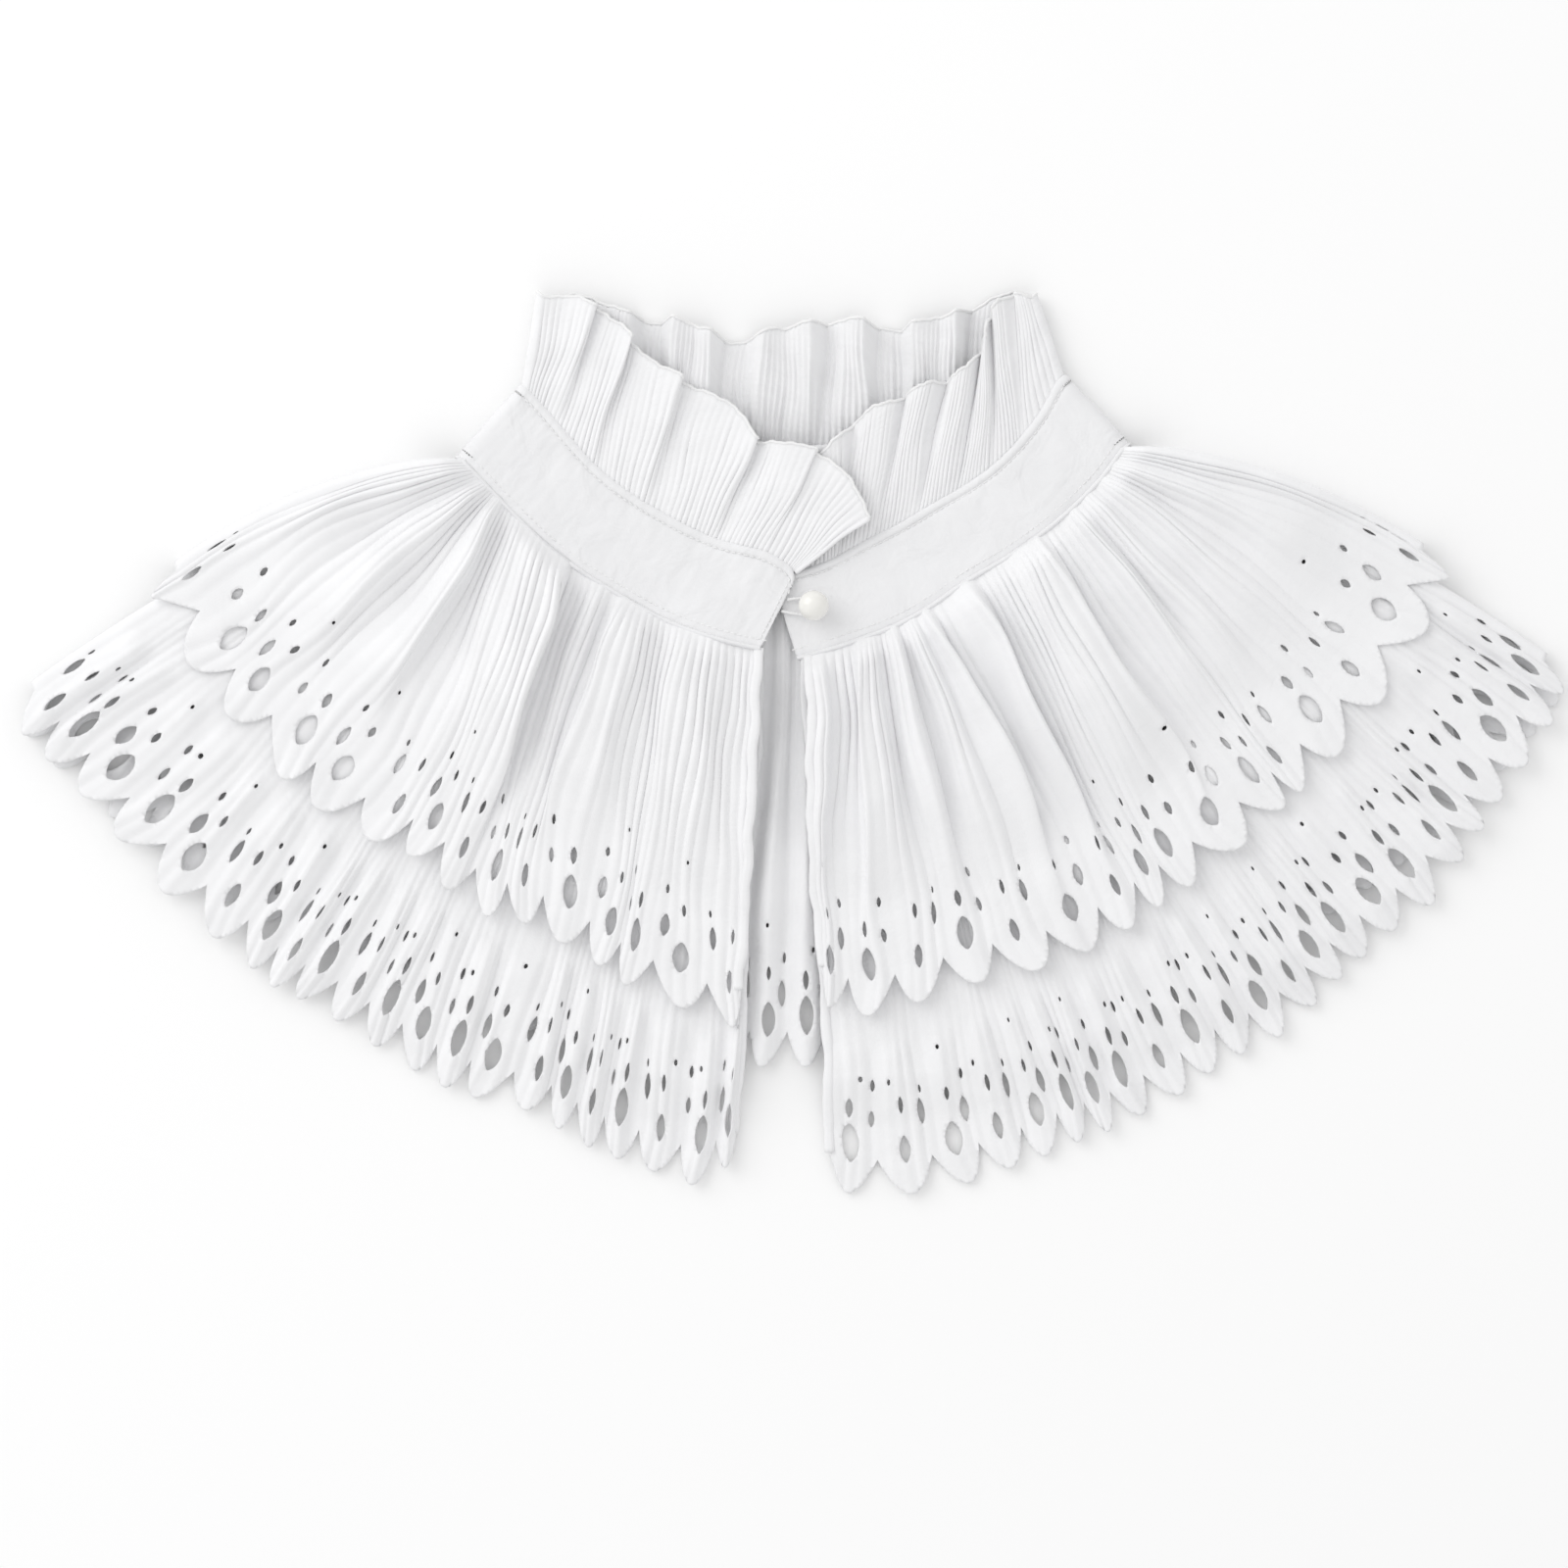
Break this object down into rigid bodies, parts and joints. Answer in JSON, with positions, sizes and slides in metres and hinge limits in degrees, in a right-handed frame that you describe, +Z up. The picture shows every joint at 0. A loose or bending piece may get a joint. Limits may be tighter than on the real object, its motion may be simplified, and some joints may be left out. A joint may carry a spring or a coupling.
{
  "type": "pleated lace capelet",
  "caption": "A short pleated capelet of two scalloped, cut tiers on a smooth neckband, with a standing ruffle and a pearl button at the open front, lying flat.",
  "frame": {"origin": "The middle of the capelet's footprint, on the surface it lies on.", "axes": "+X runs across the shoulders, from the picture's left to its right. +Y runs from the hem to the neck ruffle. +Z points up from the surface, towards the buttoned front."},
  "size_m": [0.51, 0.297, 0.0204],
  "materials": {
    "pleated_cotton": "matte",
    "smooth_band_cotton": "matte",
    "pearl": "glossy",
    "loop_thread": "matte"
  },
  "bodies": {
    "root": {"upper_tier_back": "pleated_cotton", "lower_tier_back": "pleated_cotton", "lower_tier_front_left": "pleated_cotton", "lower_tier_front_right": "pleated_cotton", "upper_tier_front_left": "pleated_cotton", "upper_tier_front_right": "pleated_cotton", "neckband": "smooth_band_cotton", "neck_ruffle": "pleated_cotton", "pearl_button": "pearl", "button_loop": "loop_thread"}
  },
  "joints": []
}
